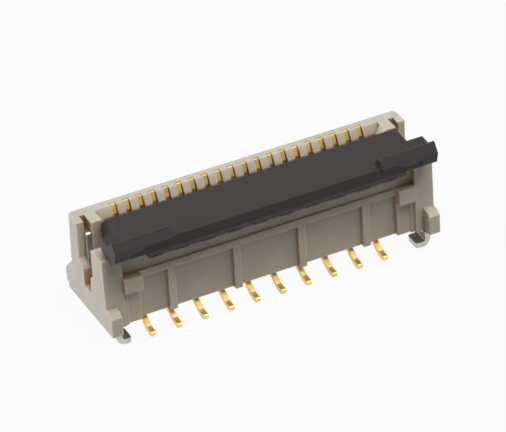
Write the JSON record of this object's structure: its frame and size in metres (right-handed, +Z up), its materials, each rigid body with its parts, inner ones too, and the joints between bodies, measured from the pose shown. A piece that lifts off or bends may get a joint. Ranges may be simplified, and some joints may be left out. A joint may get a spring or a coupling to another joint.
{
  "type": "fpc connector",
  "caption": "Upright board connector for a flat flexible cable: moulded housing, sprung contacts with staggered solder tails, end hold-downs and a hinged locking lever.",
  "frame": {"origin": "centre of the bounding box in plan, on the board surface under the solder tails", "axes": "+X along the row of contacts, +Y from the lever towards the back wall, +Z up from the board, the way the cable leaves"},
  "size_m": [0.0126, 0.0044, 0.0045],
  "materials": {
    "housing_plastic": "fine matte moulding, natural beige",
    "lever_plastic": "satin dark brown moulding",
    "contact_metal": "thin gold plating over spring bronze",
    "hold_down_metal": "dull tin plating"
  },
  "bodies": {
    "base": {"housing": "housing_plastic", "contact_front_01": "contact_metal", "contact_front_02": "contact_metal", "contact_front_03": "contact_metal", "contact_front_04": "contact_metal", "contact_front_05": "contact_metal", "contact_front_06": "contact_metal", "contact_front_07": "contact_metal", "contact_front_08": "contact_metal", "contact_front_09": "contact_metal", "contact_front_10": "contact_metal", "contact_rear_01": "contact_metal", "contact_rear_02": "contact_metal", "contact_rear_03": "contact_metal", "contact_rear_04": "contact_metal", "contact_rear_05": "contact_metal", "contact_rear_06": "contact_metal", "contact_rear_07": "contact_metal", "contact_rear_08": "contact_metal", "contact_rear_09": "contact_metal", "contact_rear_10": "contact_metal", "hold_down_left": "hold_down_metal", "hold_down_right": "hold_down_metal"},
    "locking_lever": {"lever": "lever_plastic"}
  },
  "joints": [
    {"name": "lever_hinge", "type": "hinge", "parent": "base", "child": "locking_lever", "pos_m": [0, -0.00049, 0.0035], "axis": [-1, 0, 0], "range_deg": [0, 90]}
  ]
}
